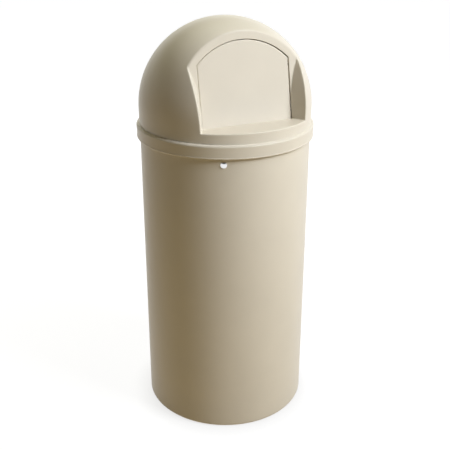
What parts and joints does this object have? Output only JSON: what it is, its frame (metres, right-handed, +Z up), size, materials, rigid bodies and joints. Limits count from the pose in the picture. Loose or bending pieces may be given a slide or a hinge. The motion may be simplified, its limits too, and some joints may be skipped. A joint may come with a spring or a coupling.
{
  "type": "trash can",
  "caption": "Tall round trash can with a lift-off dome hood, a sprung inward push door in a leaning frame, and bolted hold-down leaves.",
  "frame": {"origin": "centre of the foot, on the floor, with the hood on and the door closed", "axes": "+Z up along the axis of the tub, -Y towards the door, +X to the right of someone who stands facing the door"},
  "size_m": [0.4572, 0.4572, 1.067],
  "materials": {
    "tub_plastic": "satin, fine moulded grain",
    "hood_plastic": "satin, fine moulded grain",
    "door_plastic": "satin, fine moulded grain",
    "bright_bolt": "polished",
    "plated_steel": "zinc plated",
    "spring_steel": "satin",
    "spring_wire": "drawn wire",
    "hinge_steel": "ground bar",
    "brass_insert": "turned",
    "nylon_bush": "natural",
    "bumper_rubber": "matt"
  },
  "bodies": {
    "tub": {"container_body": "tub_plastic", "hold_down_leaf_front": "spring_steel", "hold_down_leaf_right": "spring_steel", "hold_down_leaf_rear": "spring_steel", "hold_down_bolts": "bright_bolt", "hold_down_washers": "plated_steel", "hold_down_nuts": "plated_steel"},
    "hood": {"dome_hood": "hood_plastic", "hinge_bracket_left": "plated_steel", "hinge_bracket_right": "plated_steel", "bracket_screws": "plated_steel", "threaded_inserts": "brass_insert", "hinge_rod": "hinge_steel", "rod_clips": "spring_steel", "torsion_spring_left": "spring_wire", "torsion_spring_right": "spring_wire"},
    "door": {"push_door": "door_plastic", "hinge_bush_left": "nylon_bush", "hinge_bush_right": "nylon_bush", "door_bumpers": "bumper_rubber"}
  },
  "joints": [
    {"name": "dome_lift", "type": "slide", "parent": "tub", "child": "hood", "axis": [0, 0, 1], "range_m": [0, 0.12]},
    {"name": "door_swing", "type": "hinge", "parent": "hood", "child": "door", "pos_m": [0, -0.08031, 1.03247], "axis": [1, 0, 0], "range_deg": [0, 72], "stiffness_Nm_per_rad": 0.5, "springref_deg": -34.38, "deforming": ["torsion_spring_left", "torsion_spring_right"]}
  ]
}
